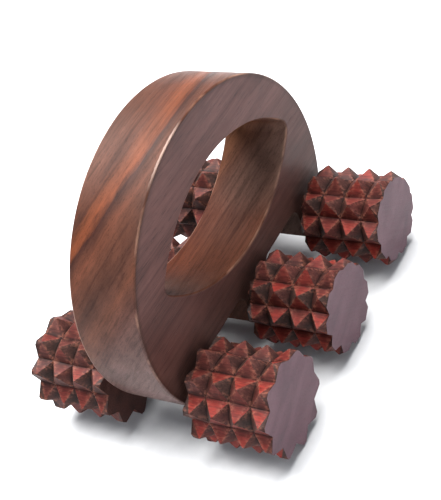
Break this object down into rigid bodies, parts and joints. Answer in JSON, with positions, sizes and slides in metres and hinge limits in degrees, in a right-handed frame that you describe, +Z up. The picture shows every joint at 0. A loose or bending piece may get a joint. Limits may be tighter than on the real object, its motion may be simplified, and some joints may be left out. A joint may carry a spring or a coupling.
{
  "type": "foot massage roller",
  "caption": "Hardwood foot massager: an upright oval ring handle with a hand hole, carried on cross axles with spiked wooden rollers at both ends.",
  "frame": {"origin": "on the floor under the middle axle, midway along the three wheelsets and midway through the handle's thickness", "axes": "+Z up; +X along the handle from the front wheelset to the rear one; axles along Y, with the right-hand rollers on -Y"},
  "size_m": [0.1295, 0.0994, 0.1032],
  "materials": {
    "handle_wood": "hand sanded and waxed, satin",
    "roller_wood": "stained, sawn and filed facets, satin",
    "spacer_wood": "turned, dull",
    "axle_steel": "drawn rod"
  },
  "bodies": {
    "handle": {"handle_ring": "handle_wood"},
    "front_wheelset": {"front_axle": "axle_steel", "front_right_roller": "roller_wood", "front_left_roller": "roller_wood", "front_right_spacer": "spacer_wood", "front_left_spacer": "spacer_wood"},
    "middle_wheelset": {"middle_axle": "axle_steel", "middle_right_roller": "roller_wood", "middle_left_roller": "roller_wood", "middle_right_spacer": "spacer_wood", "middle_left_spacer": "spacer_wood"},
    "rear_wheelset": {"rear_axle": "axle_steel", "rear_right_roller": "roller_wood", "rear_left_roller": "roller_wood", "rear_right_spacer": "spacer_wood", "rear_left_spacer": "spacer_wood"}
  },
  "joints": [
    {"name": "front_wheelset_spin", "type": "hinge", "parent": "handle", "child": "front_wheelset", "pos_m": [-0.046, 0, 0.0192], "axis": [0, 1, 0], "continuous": true},
    {"name": "middle_wheelset_spin", "type": "hinge", "parent": "handle", "child": "middle_wheelset", "pos_m": [0, 0, 0.0182], "axis": [0, 1, 0], "continuous": true},
    {"name": "rear_wheelset_spin", "type": "hinge", "parent": "handle", "child": "rear_wheelset", "pos_m": [0.046, 0, 0.0185], "axis": [0, 1, 0], "continuous": true}
  ]
}
